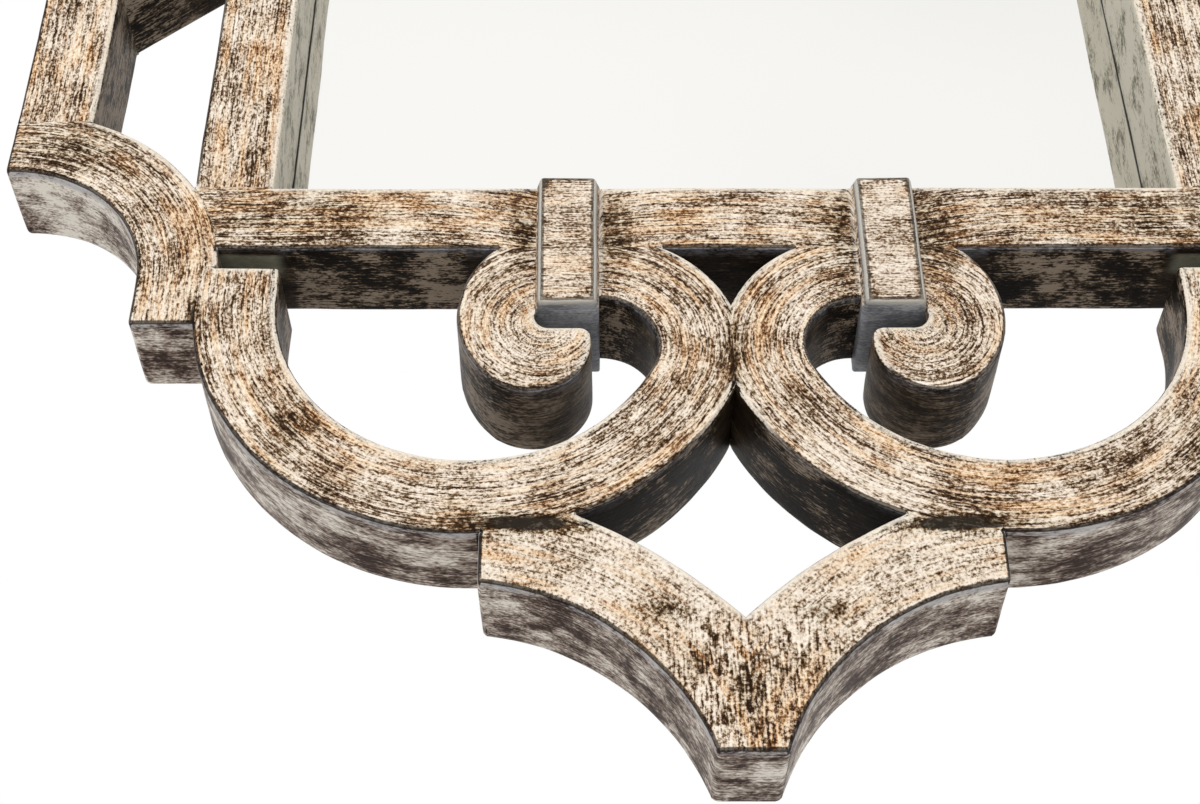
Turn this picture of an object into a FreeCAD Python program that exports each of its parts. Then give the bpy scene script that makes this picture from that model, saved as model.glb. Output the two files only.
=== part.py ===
import FreeCAD, Part
import os
import re
import Sketcher

# Wall mirror in a fretwork frame of thick square bars, in millimetres.
# X runs across the mirror, +Z is up and +Y points at the wall. The origin is the middle of its box.
# The lower left quarter is drawn, and the other three quarters mirror it.

doc = FreeCAD.newDocument("wall_mirror")
sheet = doc.addObject("Spreadsheet::Sheet", "Sizes")

SIZES = [
    # The bars, and the opening that they frame
    ("bar_width", "44", "width of every bar, seen from the front"),
    ("frame_depth", "56", "depth of every bar, front to back"),
    ("opening_half_width", "250", "half the clear width of the glass"),
    ("opening_half_height", "256", "half the clear height of the glass"),
    ("overrun", "2", "how far a cutter runs past the faces that it cuts"),
    ("collar_proud", "8", "how far a collar stands in front of the bars"),
    ("bumper_depth", "6", "how far a bumper holds the back off the wall"),
    ("front_face", "=(collar_proud - frame_depth - bumper_depth) / 2", "front of the bars"),
    ("back_face", "=front_face + frame_depth", "back of the bars"),
    ("mid_depth", "=(front_face + back_face) / 2", "middle of the bars' depth"),
    ("rail_top", "=-opening_half_height", "edge of the bottom rail at the opening"),
    ("rail_under", "=rail_top - bar_width", "underside of the bottom rail"),
    ("stile_inner", "=-opening_half_width", "edge of the left stile at the opening"),
    ("stile_outer", "=stile_inner - bar_width", "outer edge of the left stile"),
    # The shoulder, a quarter bend from the outer rail down past the stile's foot and the bottom rail's end
    ("shoulder_radius", "124", "convex edge of the shoulder, which passes through the stile's outer corner"),
    ("shoulder_inset", "3", "flat under the outer rail, outside the shoulder's concave edge"),
    ("shoulder_drop", "67", "centre of the shoulder's bend, below the bottom rail's top"),
    ("shoulder_foot_drop", "96", "cut end of the shoulder, below the bottom rail's top"),
    ("shoulder_x", "=stile_outer - sqrt(shoulder_radius ^ 2 - shoulder_drop ^ 2)", "centre of the bend"),
    ("shoulder_z", "=rail_top - shoulder_drop", "centre of the bend"),
    ("shoulder_hollow", "=shoulder_radius - bar_width", "concave edge of the shoulder"),
    ("shoulder_foot", "=rail_top - shoulder_foot_drop", "cut end of the shoulder"),
    ("tail_right", "=shoulder_x + shoulder_radius", "right edge of the shoulder's straight tail"),
    ("outer_rail_outer", "=shoulder_x - shoulder_inset", "outer edge of the left outer rail"),
    ("outer_rail_inner", "=outer_rail_outer + bar_width", "inner edge of the left outer rail"),
    ("side_gap", "=stile_outer - outer_rail_inner", "clear width between stile and outer rail"),
    ("seam_z", "=shoulder_z + sqrt(shoulder_radius ^ 2 - (outer_rail_inner - shoulder_x) ^ 2)",
     "seam between the shoulder and the outer rail, where the bend meets the rail's inner edge"),
    # The large scroll: an arm, a wide bend, and a tighter lobe that touches its twin and the rail
    ("slot_height", "13.5", "slot between the bottom rail and the scroll's arm"),
    ("arm_lap", "11", "how far the arm reaches behind the shoulder's right edge"),
    ("arm_straight", "20", "straight part of the arm above the bend"),
    ("lobe_radius", "75", "outer edge of the lobe"),
    ("axis_flat", "5.3", "how much of the lobe's round is cut away on the mirror's axis"),
    ("rail_flat", "8.6", "how much of the lobe's round is cut away under the rail"),
    ("scroll_top", "=rail_under - slot_height", "flat top of the arm"),
    ("arm_outer", "=tail_right - arm_lap", "outer edge of the arm"),
    ("scroll_z", "=scroll_top - arm_straight", "centre of the wide bend"),
    ("lobe_x", "=axis_flat - lobe_radius", "centre of the lobe"),
    ("lobe_z", "=rail_under + rail_flat - lobe_radius", "centre of the lobe"),
    ("scroll_radius",
     "=((lobe_x - arm_outer) ^ 2 + (lobe_z - scroll_z) ^ 2 - lobe_radius ^ 2)"
     " / (2 * (lobe_x - arm_outer - lobe_radius))",
     "outer edge of the wide bend, which runs smoothly from the arm into the lobe"),
    ("scroll_x", "=arm_outer + scroll_radius", "centre of the wide bend"),
    ("lobe_turn", "=atan2(scroll_z - lobe_z; lobe_x - scroll_x) / 1 deg",
     "angle below level at which the bend passes into the lobe"),
    # The collar that binds the scroll and the curl to the bottom rail
    ("collar_width", "34", "width of the collar where it meets the bars"),
    ("collar_drop", "44", "how far the collar hangs below the bottom rail"),
    ("collar_lip", "2", "how far the collar's face stands past the rail's top edge"),
    ("collar_taper", "2", "slope of the collar's raised sides"),
    ("collar_right", "=lobe_x", "side of the collar where the lobe ends"),
    ("collar_left", "=collar_right - collar_width", "side of the collar where the curl ends"),
    ("collar_x", "=(collar_left + collar_right) / 2", "middle of the collar"),
    ("collar_bottom", "=rail_under - collar_drop", "underside of the collar"),
    # The small curl, a comma that hangs beside the collar with its tip turned in below it
    ("curl_radius", "60.6", "outer edge of the curl"),
    ("curl_tip_radius", "32", "round of the curl's tip"),
    ("curl_offset", "2", "centre of the curl, right of the collar's middle"),
    ("curl_hang", "44.8", "centre of the curl, below the bottom rail"),
    ("curl_turn", "133", "angle that the curl's outer edge turns before the tip"),
    ("curl_gap", "10.5", "gap between the collar and the curl's tip"),
    ("curl_gap_round", "8", "inner corner of that gap"),
    ("curl_nose_round", "6.5", "nose of the curl's tip"),
    ("curl_x", "=collar_x + curl_offset", "centre of the curl"),
    ("curl_z", "=rail_under - curl_hang", "centre of the curl"),
    ("tip_x", "=curl_x + (curl_radius - curl_tip_radius) * cos(90 + curl_turn)", "centre of the tip"),
    ("tip_z", "=curl_z + (curl_radius - curl_tip_radius) * sin(90 + curl_turn)", "centre of the tip"),
    ("curl_gap_floor", "=collar_bottom - curl_gap", "top of the curl's tip"),
    # The apron, two hollow curves under the scrolls that meet in a square foot
    ("apron_radius", "135.5", "hollow lower edge of the apron"),
    ("apron_half_width", "128.5", "cut end of the apron, from the axis"),
    ("apron_top_radius", "300", "round upper edge of the apron's curves"),
    ("apron_top_reach", "212", "centre of that edge, from the axis"),
    ("apron_notch_rise", "71", "notch between the two upper edges, above the foot"),
    ("foot_drop", "117.5", "foot below the scrolls"),
    ("foot_half_width", "16.4", "half the width of the foot"),
    ("foot_rise", "45", "foot above the centres of the apron's curves"),
    ("foot_bottom", "=scroll_z - scroll_radius - foot_drop", "lowest point of the mirror"),
    ("apron_z", "=foot_bottom - foot_rise", "centre of the left curve"),
    ("apron_x", "=-foot_half_width - sqrt(apron_radius ^ 2 - foot_rise ^ 2)", "centre of the left curve"),
    ("apron_top_z", "=foot_bottom + apron_notch_rise - sqrt(apron_top_radius ^ 2 - apron_top_reach ^ 2)",
     "centre of the upper edges"),
    # The brace, half of a chevron whose point rests on the stile at mid height
    ("brace_drop", "95", "lower edge of the brace at the outer rail, below mid height"),
    ("brace_run_share", "0.628", "level run of the upper edge to the mitre, as a share of the side gap"),
    ("brace_foot", "=-brace_drop", "lower edge of the brace at the outer rail"),
    ("brace_run", "=side_gap * brace_run_share", "level run of the upper edge up to the mitre"),
    ("brace_slope",
     "=(acos(bar_width / sqrt(brace_drop ^ 2 + brace_run ^ 2)) - atan2(brace_run; brace_drop)) / 1 deg",
     "angle above level at which a bar of full width fits between those points"),
    ("brace_rise", "=side_gap * tan(brace_slope)", "how far the brace climbs to the stile"),
    ("brace_head", "=brace_foot + bar_width / cos(brace_slope)", "upper edge at the outer rail"),
    # The glass and its backing board, let into the back of the rails and stiles
    ("glass_thickness", "3", "mirror glass"),
    ("board_thickness", "3", "backing board, flush with the back"),
    ("glass_ledge", "8", "ledge that the glass lies on"),
    ("board_ledge", "22", "far side of the ledge that the board lies on"),
    ("glass_clearance", "1", "play round the glass and round the board"),
    ("glass_face", "=back_face - board_thickness - glass_thickness", "front of the glass"),
    ("board_face", "=back_face - board_thickness", "front of the board"),
    # The wooden dowels
    ("dowel_radius", "4", "every dowel"),
    ("dowel_length", "40", "every dowel"),
    ("dowel_clearance", "0.1", "glue space round a dowel"),
    ("dowel_end_clearance", "1", "glue space past each end"),
    ("corner_dowel_near", "9", "first dowel of a corner, from the stile's edge at the opening"),
    ("corner_dowel_far", "22", "second dowel of a corner"),
    ("rail_end_dowel_drop", "33", "dowel in a rail's end, below the rail's top"),
    ("shoulder_dowel_spacing", "20", "two dowels in the seam of shoulder and outer rail"),
    ("scroll_dowel_offset", "17", "dowel in the top of the lobe, from the lobe's centre"),
    ("curl_dowel_offset", "10", "dowel in the top of the curl, from the collar"),
    ("apron_dowel_share", "0.82", "dowel in the apron, as a share of its half width"),
    ("rail_end_dowel_z", "=rail_top - rail_end_dowel_drop", "dowel in a rail's end"),
    ("rail_end_dowel_x", "=shoulder_x + sqrt(shoulder_radius ^ 2 - (rail_end_dowel_z - shoulder_z) ^ 2)",
     "where that dowel crosses the seam"),
    ("apron_dowel_x", "=-apron_half_width * apron_dowel_share", "dowel between apron and scroll"),
    # The screws
    ("screw_radius", "1.75", "shank"),
    ("screw_length", "14", "shank under the head"),
    ("screw_head_radius", "3.5", "head"),
    ("screw_head_height", "2", "head"),
    ("screw_slot", "0.9", "width and depth of the driver's slot"),
    ("screw_pilot_clearance", "0.05", "pilot hole in the wood"),
    ("screw_hole_clearance", "0.4", "hole in the board or the strap"),
    ("side_screw_share", "0.66", "board screw at the sides, as a share of the half height"),
    ("end_screw_share", "0.6", "board screw at the ends, as a share of the half width"),
    # The hangers on the outer rails
    ("hanger_drop", "56", "pivot of a hanger's ring below the upper end of the outer rail"),
    ("strap_thickness", "1.2", "plate of the hanger"),
    ("strap_play", "0.5", "play of the rolled end between the bends of the ring's bar"),
    ("strap_screw_gap", "2", "between the hanging ring and the head of the upper screw"),
    ("strap_screw_pitch", "11", "between the two screws of a strap"),
    ("strap_end", "1", "centre of the plate's round end, below the lower screw"),
    ("ring_wire", "1.5", "radius of the ring's wire"),
    ("ring_radius", "11", "bend of the ring"),
    ("ring_leg", "5", "straight sides of the ring"),
    ("ring_corner", "3", "bend between the ring's bar and its sides"),
    ("ring_clearance", "0.05", "running clearance of the ring in the rolled end"),
    ("ring_lift", "0.4", "gap between the hanging ring and the plate"),
    ("strap_width", "=2 * (ring_radius - ring_corner - strap_play)", "plate and rolled end of the hanger"),
    ("ring_reach", "=ring_corner + ring_leg + ring_radius + ring_wire", "lowest point of the ring"),
    ("strap_screw_near", "=ring_reach + strap_screw_gap + screw_head_radius", "upper screw below the pivot"),
    ("strap_screw_far", "=strap_screw_near + strap_screw_pitch", "lower screw below the pivot"),
    ("strap_length", "=strap_screw_far + strap_end", "pivot to the centre of the plate's round end"),
    ("hanger_height", "=-seam_z - hanger_drop", "pivot of a ring above the middle"),
    ("hanger_x", "=(outer_rail_inner + outer_rail_outer) / 2", "middle of the left outer rail"),
    ("strap_face", "=back_face + strap_thickness", "back of the plate"),
    ("pivot_y", "=back_face + strap_thickness + ring_lift + ring_wire", "pivot of the ring"),
    ("bore_radius", "=ring_wire + ring_clearance", "bore of the strap's rolled end"),
    # The bumpers under the lower ends of the outer rails
    ("bumper_radius", "7", "rubber bumper"),
    ("bumper_rise", "30", "bumper above the shoulder's seam"),
]

for row, (alias, content, meaning) in enumerate(SIZES, start=1):
    sheet.set(f"A{row}", meaning)
    sheet.set(f"B{row}", content)
    sheet.setAlias(f"B{row}", alias)
doc.recompute()

NAMES = {alias for alias, content, meaning in SIZES}
SAME_SPOT = 0.001
nodes = []


def sized(text):
    """Write an expression's size names as cells of the sheet."""
    return re.sub(r"[a-z]\w*", lambda word: f"Sizes.{word[0]}" if word[0] in NAMES else word[0], text)


def value(text):
    """What an expression gives, in plain millimetres or degrees."""
    return sheet.evalExpression(sized(text))


def bind(thing, **expressions):
    """Tie properties of a thing to expressions in the sheet's sizes."""
    for name, text in expressions.items():
        thing.setExpression(name, sized(text))


def place(thing, x, y, z, yaw="0", pitch="0", roll="0"):
    """Tie a thing's place and turn to expressions in the sheet's sizes."""
    spot = f"create(<<vector>>; {sized(x)}; {sized(y)}; {sized(z)})"
    turn = f"create(<<rotation>>; {sized(yaw)}; {sized(pitch)}; {sized(roll)})"
    thing.setExpression("Placement", f"create(<<placement>>; {spot}; {turn})")


def node(label, thing):
    """Name a finished piece and put it on the list of pieces to write."""
    thing.Label = label
    nodes.append(thing)
    return thing


def block(name, left, right, front, back, bottom, top):
    """A rectangular block between pairs of X, Y and Z planes."""
    thing = doc.addObject("Part::Box", name)
    bind(thing, Length=f"{right} - ({left})", Width=f"{back} - ({front})", Height=f"{top} - ({bottom})")
    place(thing, left, front, bottom)
    return thing


def bar(name, left, right, bottom, top):
    """A block as deep as the frame."""
    return block(name, left, right, "front_face", "back_face", bottom, top)


def bar_cutter(name, left, right, bottom, top):
    """A block that cuts through the frame's whole depth."""
    return block(name, left, right, "front_face - overrun", "back_face + overrun", bottom, top)


def slice_of(name, x, z, radius, start="0", sweep="360", spare="0"):
    """A disc or a slice of one, as deep as the frame: angles run anticlockwise from +X, seen in front."""
    thing = doc.addObject("Part::Cylinder", name)
    bind(thing, Radius=radius, Height=f"frame_depth + 2 * ({spare})", Angle=sweep)
    place(thing, x, f"back_face + {spare}", z, pitch=f"-({start})", roll="90")
    return thing


def slice_cutter(name, x, z, radius, start="0", sweep="360"):
    """A disc or a slice of one that cuts through the frame's whole depth."""
    return slice_of(name, x, z, radius, start, sweep, spare="overrun")


# Turns, as yaw, pitch and roll, that lay a rod's axis along each of the frame's axes
ROD_TURNS = {"X": ("0", "90", "0"), "Y": ("0", "0", "-90"), "Z": ("0", "0", "0")}


def rod(name, axis, x, y, z, radius, length):
    """A round rod that runs from a point along X, Y or Z."""
    thing = doc.addObject("Part::Cylinder", name)
    bind(thing, Radius=radius, Height=length)
    place(thing, x, y, z, *ROD_TURNS[axis])
    return thing


def joined(name, *pieces):
    """Pieces made one solid."""
    thing = doc.addObject("Part::MultiFuse", name)
    thing.Shapes = list(pieces)
    thing.Refine = True
    return thing


def overlap(name, *pieces):
    """What pieces have in common."""
    thing = doc.addObject("Part::MultiCommon", name)
    thing.Shapes = list(pieces)
    return thing


def grouped(name, *pieces):
    """Pieces kept apart under one name."""
    thing = doc.addObject("Part::Compound", name)
    thing.Links = list(pieces)
    return thing


def cut(name, base, *tools):
    """The base without its tools, which are made one first because some of them cross."""
    thing = doc.addObject("Part::Cut", name)
    thing.Base = base
    thing.Tool = tools[0] if len(tools) == 1 else joined(f"{name}_cutters", *tools)
    thing.Refine = True
    return thing


MIRROR_NORMALS = {"X": FreeCAD.Vector(1, 0, 0), "Z": FreeCAD.Vector(0, 0, 1)}


def mirrored(name, source, axis):
    """The piece's twin across the mirror's middle, along X or Z."""
    thing = doc.addObject("Part::Mirroring", name)
    thing.Source = source
    thing.Normal = MIRROR_NORMALS[axis]
    return thing


def both_sides(name, source, axis):
    """A piece or a cutter together with its twin."""
    return grouped(name, source, mirrored(f"{name}_twin", source, axis))


def four_corners(name, source):
    """The lower left piece with its twins in the other three corners."""
    return both_sides(name, both_sides(f"{name}_lower", source, "X"), "Z")


def twin_nodes(name, source, axis, first, second):
    """A piece and its twin across the mirror's middle, each a node of its own."""
    node(f"{first}_{name}", source)
    node(f"{second}_{name}", mirrored(f"{second}_{name}", source, axis))


def quarter_nodes(name, source):
    """The lower left piece and its three twins, each a node of its own."""
    lower_left = node(f"lower_left_{name}", source)
    lower_right = node(f"lower_right_{name}", mirrored(f"lower_right_{name}", lower_left, "X"))
    node(f"upper_left_{name}", mirrored(f"upper_left_{name}", lower_left, "Z"))
    node(f"upper_right_{name}", mirrored(f"upper_right_{name}", lower_right, "Z"))


def sketched(name, corners):
    """A straight-sided piece, sketched from the front and padded through the frame's depth."""
    body = doc.addObject("PartDesign::Body", name)
    sketch = body.newObject("Sketcher::SketchObject", f"{name}_outline")
    front_view = next(item for item in body.Origin.OriginFeatures if item.Role == "XZ_Plane")
    sketch.AttachmentSupport = [(front_view, "")]
    sketch.MapMode = "FlatFace"
    spots = [FreeCAD.Vector(value(x), value(z), 0) for x, z in corners]
    for spot, following in zip(spots, spots[1:] + spots[:1]):
        sketch.addGeometry(Part.LineSegment(spot, following))
    for number, (corner, spot) in enumerate(zip(corners, spots)):
        previous = (number - 1) % len(spots)
        sketch.addConstraint(Sketcher.Constraint("Coincident", previous, 2, number, 1))
        for direction, text, distance in zip(("DistanceX", "DistanceY"), corner, (spot.x, spot.y)):
            index = sketch.addConstraint(Sketcher.Constraint(direction, -1, 1, number, 1, distance))
            sketch.setExpression(f"Constraints[{index}]", sized(text))
    pad = body.newObject("PartDesign::Pad", f"{name}_pad")
    pad.Profile = sketch
    pad.Reversed = True
    bind(pad, Length="frame_depth")
    place(body, "0", "front_face", "0")
    return body


def rounded(name, source, corners):
    """The piece with the edges rounded that run front to back at points of the front view."""
    doc.recompute()
    wanted = [(value(x), value(z), value(radius)) for x, z, radius in corners]
    picked = []
    for number, edge in enumerate(source.Shape.Edges, start=1):
        ends = edge.Vertexes
        for x, z, radius in wanted:
            if all(abs(end.X - x) + abs(end.Z - z) < SAME_SPOT for end in ends):
                picked.append((number, radius, radius))
    thing = doc.addObject("Part::Fillet", name)
    thing.Base = source
    thing.Edges = picked
    return thing


def ring_bend(name, x, z, radius, start, sweep):
    """A bend of the ring's wire, its angles anticlockwise from +X seen from the front."""
    thing = doc.addObject("Part::Torus", name)
    bind(thing, Radius1=radius, Radius2="ring_wire", Angle3=sweep)
    place(thing, x, "pivot_y", z, pitch=f"-({start})", roll="90")
    return thing


# The dowels of the lower left quarter, by joint: the axis of each and the middle of its length
DOWELS = {
    "corner": [("Z", "stile_inner - corner_dowel_near", "rail_top"),
               ("Z", "stile_inner - corner_dowel_far", "rail_top")],
    "rail_end": [("X", "rail_end_dowel_x", "rail_end_dowel_z")],
    "shoulder": [("Z", "hanger_x - shoulder_dowel_spacing / 2", "seam_z"),
                 ("Z", "hanger_x + shoulder_dowel_spacing / 2", "seam_z")],
    "scroll_arm": [("X", "arm_outer", "(scroll_top + shoulder_foot) / 2")],
    "scroll_top": [("Z", "lobe_x + scroll_dowel_offset", "rail_under")],
    "scroll_centre": [("X", "0", "lobe_z")],
    "apron": [("Z", "apron_dowel_x", "scroll_z - sqrt(scroll_radius ^ 2 - (apron_dowel_x - scroll_x) ^ 2)")],
    "curl": [("Z", "collar_left - curl_dowel_offset", "rail_under")],
    "collar": [("Z", "collar_x", "rail_under")],
    "brace_foot": [("X", "outer_rail_inner", "(brace_foot + brace_head) / 2")],
    "brace_point": [("X", "stile_outer", "(brace_foot + brace_rise) / 2")],
}


def dowel_rods(name, radius, length):
    """Rods at one joint's dowel places, each centred on the seam that it crosses."""
    rods = []
    for number, (axis, x, z) in enumerate(DOWELS[name], start=1):
        start_x = f"{x} - ({length}) / 2" if axis == "X" else x
        start_z = f"{z} - ({length}) / 2" if axis == "Z" else z
        rods.append(rod(f"{name}_rod_{number}", axis, start_x, "mid_depth", start_z, radius, length))
    return grouped(f"{name}_rods", *rods)


def sockets(name):
    """The dowel holes of one joint."""
    return dowel_rods(name, "dowel_radius + dowel_clearance", "dowel_length + 2 * dowel_end_clearance")


SOCKETS = {name: sockets(name) for name in DOWELS}

# The rebates in the back that take the glass and the board
glass_rebate = block("glass_rebate", "stile_inner - glass_ledge", "glass_ledge - stile_inner",
                     "glass_face", "back_face + overrun", "rail_top - glass_ledge", "glass_ledge - rail_top")
board_rebate = block("board_rebate", "stile_inner - board_ledge", "board_ledge - stile_inner",
                     "board_face", "back_face + overrun", "rail_top - board_ledge", "board_ledge - rail_top")
rebates = joined("rebates", glass_rebate, board_rebate)


def screw(name, x, seat, z):
    """A pan head screw with a driver's slot, driven from the wall side until its head seats."""
    head = rod(f"{name}_head", "Y", x, seat, z, "screw_head_radius", "screw_head_height")
    shank = rod(f"{name}_shank", "Y", x, f"{seat} - screw_length", z, "screw_radius", "screw_length")
    slot = block(f"{name}_slot", f"{x} - screw_head_radius", f"{x} + screw_head_radius",
                 f"{seat} + screw_head_height - screw_slot", f"{seat} + screw_head_height + overrun",
                 f"{z} - screw_slot / 2", f"{z} + screw_slot / 2")
    return cut(name, joined(f"{name}_blank", head, shank), slot)


def pilot(name, x, seat, z):
    """The blind hole in the wood for a screw."""
    return rod(name, "Y", x, f"{seat} - screw_length - overrun", z,
               "screw_radius + screw_pilot_clearance", "screw_length + 2 * overrun")


def screw_hole(name, x, z, front, depth):
    """The clear hole for a screw in the board or a strap."""
    return rod(name, "Y", x, f"{front} - overrun", z,
               "screw_radius + screw_hole_clearance", f"{depth} + 2 * overrun")


# The screws of a strap, below its ring's pivot
STRAP_SCREWS = ("strap_screw_near", "strap_screw_far")

# The board's screws in the lower left quarter, in the middle of the ledge that the board lies on
LEDGE_MIDDLE = "(glass_ledge + board_ledge) / 2"
SIDE_SCREW = (f"stile_inner - {LEDGE_MIDDLE}", "rail_top * side_screw_share")
MIDDLE_SCREW = (f"stile_inner - {LEDGE_MIDDLE}", "0")
END_SCREW = ("stile_inner * end_screw_share", f"rail_top - {LEDGE_MIDDLE}")
AXIS_SCREW = ("0", f"rail_top - {LEDGE_MIDDLE}")


def all_round(name, make):
    """Something made at each board screw, repeated round the four sides of the board."""
    side = four_corners(f"{name}_side", make(f"{name}_side_one", *SIDE_SCREW))
    middle = both_sides(f"{name}_middle", make(f"{name}_middle_one", *MIDDLE_SCREW), "X")
    end = four_corners(f"{name}_end", make(f"{name}_end_one", *END_SCREW))
    axis = both_sides(f"{name}_axis", make(f"{name}_axis_one", *AXIS_SCREW), "Z")
    return grouped(name, side, middle, end, axis)


board_pilots = all_round("board_pilots", lambda name, x, z: pilot(name, x, "back_face", z))
board_holes = all_round("board_holes",
                        lambda name, x, z: screw_hole(name, x, z, "board_face", "board_thickness"))

# The wide bend's outer edge, with the arm above it, trims the shoulder and the apron
scroll_outline = joined(
    "scroll_outline",
    slice_cutter("wide_bend_outline", "scroll_x", "scroll_z", "scroll_radius", "180", "180"),
    bar_cutter("arm_outline", "arm_outer", "scroll_x", "scroll_z", "scroll_top"))


def bottom_rail():
    """The rail under the glass, its ends hollowed to sit against the two shoulders."""
    blank = bar("bottom_rail_blank", "stile_outer", "-stile_outer", "rail_under", "rail_top")
    shoulder_edge = slice_cutter("rail_end_outline", "shoulder_x", "shoulder_z", "shoulder_radius")
    hollows = both_sides("rail_end_outlines", shoulder_edge, "X")
    trimmed = cut("bottom_rail_trimmed", blank, hollows, rebates, board_pilots)
    holes = [both_sides(f"rail_{name}_sockets", SOCKETS[name], "X")
             for name in ("corner", "rail_end", "scroll_top", "curl", "collar")]
    return cut("bottom_rail", trimmed, *holes)


def left_stile():
    """The upright beside the glass, standing on the bottom rail and carrying the top one."""
    blank = sketched("stile_blank", [("stile_outer", "rail_top"), ("stile_inner", "rail_top"),
                                     ("stile_inner", "-rail_top"), ("stile_outer", "-rail_top")])
    holes = [both_sides(f"stile_{name}_sockets", SOCKETS[name], "Z") for name in ("corner", "brace_point")]
    return cut("left_stile", blank, rebates, board_pilots, *holes)


def left_outer_rail():
    """The upright on the outside, between the lower and the upper shoulder."""
    blank = sketched("outer_rail_blank", [("outer_rail_outer", "seam_z"), ("outer_rail_inner", "seam_z"),
                                          ("outer_rail_inner", "-seam_z"), ("outer_rail_outer", "-seam_z")])
    holes = [both_sides(f"outer_rail_{name}_sockets", SOCKETS[name], "Z")
             for name in ("shoulder", "brace_foot")]
    strap_pilots = [pilot(f"strap_pilot_{reach}", "hanger_x", "strap_face", f"hanger_height - {reach}")
                    for reach in STRAP_SCREWS]
    return cut("left_outer_rail", blank, *holes, *strap_pilots)


def shoulder():
    """The quarter bend with its straight tail, trimmed by the scroll that stands before it."""
    bend = slice_of("shoulder_bend", "shoulder_x", "shoulder_z", "shoulder_radius")
    window = bar("shoulder_window", "outer_rail_outer", "tail_right", "shoulder_z", "seam_z")
    hollow = slice_cutter("shoulder_inside", "shoulder_x", "shoulder_z", "shoulder_hollow")
    quarter = cut("shoulder_quarter", overlap("shoulder_corner", bend, window), hollow)
    tail = bar("shoulder_tail", "tail_right - bar_width", "tail_right", "shoulder_foot", "shoulder_z")
    whole = joined("shoulder_whole", quarter, tail)
    return cut("shoulder", whole, scroll_outline, SOCKETS["shoulder"], SOCKETS["rail_end"],
               SOCKETS["scroll_arm"])


def scroll():
    """The large C of arm, wide bend and lobe, cut flat on the axis and under the rail."""
    arm = bar("scroll_arm", "arm_outer", "arm_outer + bar_width", "scroll_z", "scroll_top")
    bend = cut("wide_bend",
               slice_of("wide_bend_disc", "scroll_x", "scroll_z", "scroll_radius", "180", "180 - lobe_turn"),
               slice_cutter("wide_bend_inside", "scroll_x", "scroll_z", "scroll_radius - bar_width"))
    lobe = cut("lobe",
               slice_of("lobe_disc", "lobe_x", "lobe_z", "lobe_radius", "-lobe_turn", "90 + lobe_turn"),
               slice_cutter("lobe_inside", "lobe_x", "lobe_z", "lobe_radius - bar_width"))
    whole = joined("scroll_whole", arm, bend, lobe)
    window = bar("scroll_window", "arm_outer", "0", "scroll_z - scroll_radius", "rail_under")
    return cut("scroll", overlap("scroll_trimmed", whole, window), SOCKETS["scroll_arm"],
               SOCKETS["scroll_top"], SOCKETS["scroll_centre"], SOCKETS["apron"])


def curl():
    """The small comma beside the collar, with a rounded gap between its tip and the collar."""
    arm = slice_of("curl_arm", "curl_x", "curl_z", "curl_radius", "90", "curl_turn")
    tip = slice_of("curl_tip", "tip_x", "tip_z", "curl_tip_radius")
    above_rail = bar_cutter("above_curl", "curl_x - curl_radius", "curl_x", "rail_under", "rail_top")
    gap = bar_cutter("curl_gap", "collar_left", "curl_x + curl_radius",
                     "curl_gap_floor", "rail_under + overrun")
    whole = cut("curl_whole", joined("curl_blank", arm, tip), above_rail, gap)
    nose_x = "tip_x + sqrt(curl_tip_radius ^ 2 - (curl_gap_floor - tip_z) ^ 2)"
    smooth = rounded("curl_smooth", whole, [("collar_left", "curl_gap_floor", "curl_gap_round"),
                                            (nose_x, "curl_gap_floor", "curl_nose_round")])
    return cut("curl", smooth, SOCKETS["curl"])


def collar():
    """A block between the ends of the scroll and the curl, with a raised face that laps the rail."""
    stem = bar("collar_stem", "collar_left", "collar_right", "collar_bottom", "rail_under")
    face = doc.addObject("Part::Wedge", "collar_face")
    bind(face, Xmin="collar_taper", Xmax="collar_width - collar_taper", X2min="0", X2max="collar_width",
         Ymin="0", Ymax="collar_proud",
         Zmin="0", Zmax="collar_lip + rail_top - collar_bottom - collar_taper",
         Z2min="0", Z2max="collar_lip + rail_top - collar_bottom")
    place(face, "collar_left", "front_face - collar_proud", "collar_bottom")
    return cut("collar", joined("collar_whole", stem, face), SOCKETS["collar"])


def lower_apron():
    """The two hollow curves and their foot, in one piece, with the scrolls standing on top."""
    outside = slice_of("apron_outside", "-apron_top_reach", "apron_top_z", "apron_top_radius")
    window = bar("apron_window", "-apron_half_width", "0", "foot_bottom", "scroll_z")
    hollow = slice_cutter("apron_hollow", "apron_x", "apron_z", "apron_radius")
    left = cut("apron_left", overlap("apron_left_blank", outside, window), hollow, scroll_outline)
    both = joined("apron_both", left, mirrored("apron_right", left, "X"))
    return cut("lower_apron", both, both_sides("apron_sockets", SOCKETS["apron"], "X"))


def brace():
    """Half a chevron, mitred at mid height against its twin."""
    outline = [("outer_rail_inner", "brace_foot"), ("stile_outer", "brace_foot + brace_rise"),
               ("stile_outer", "0"), ("outer_rail_inner + brace_run", "0"),
               ("outer_rail_inner", "brace_head")]
    return cut("brace", sketched("brace_blank", outline), SOCKETS["brace_foot"], SOCKETS["brace_point"])


def mirror_glass():
    return block("glass", "stile_inner - glass_ledge + glass_clearance",
                 "glass_ledge - glass_clearance - stile_inner", "glass_face", "board_face",
                 "rail_top - glass_ledge + glass_clearance", "glass_ledge - glass_clearance - rail_top")


def backing_board():
    blank = block("board_blank", "stile_inner - board_ledge + glass_clearance",
                  "board_ledge - glass_clearance - stile_inner", "board_face", "back_face",
                  "rail_top - board_ledge + glass_clearance", "board_ledge - glass_clearance - rail_top")
    return cut("board", blank, board_holes)


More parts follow.
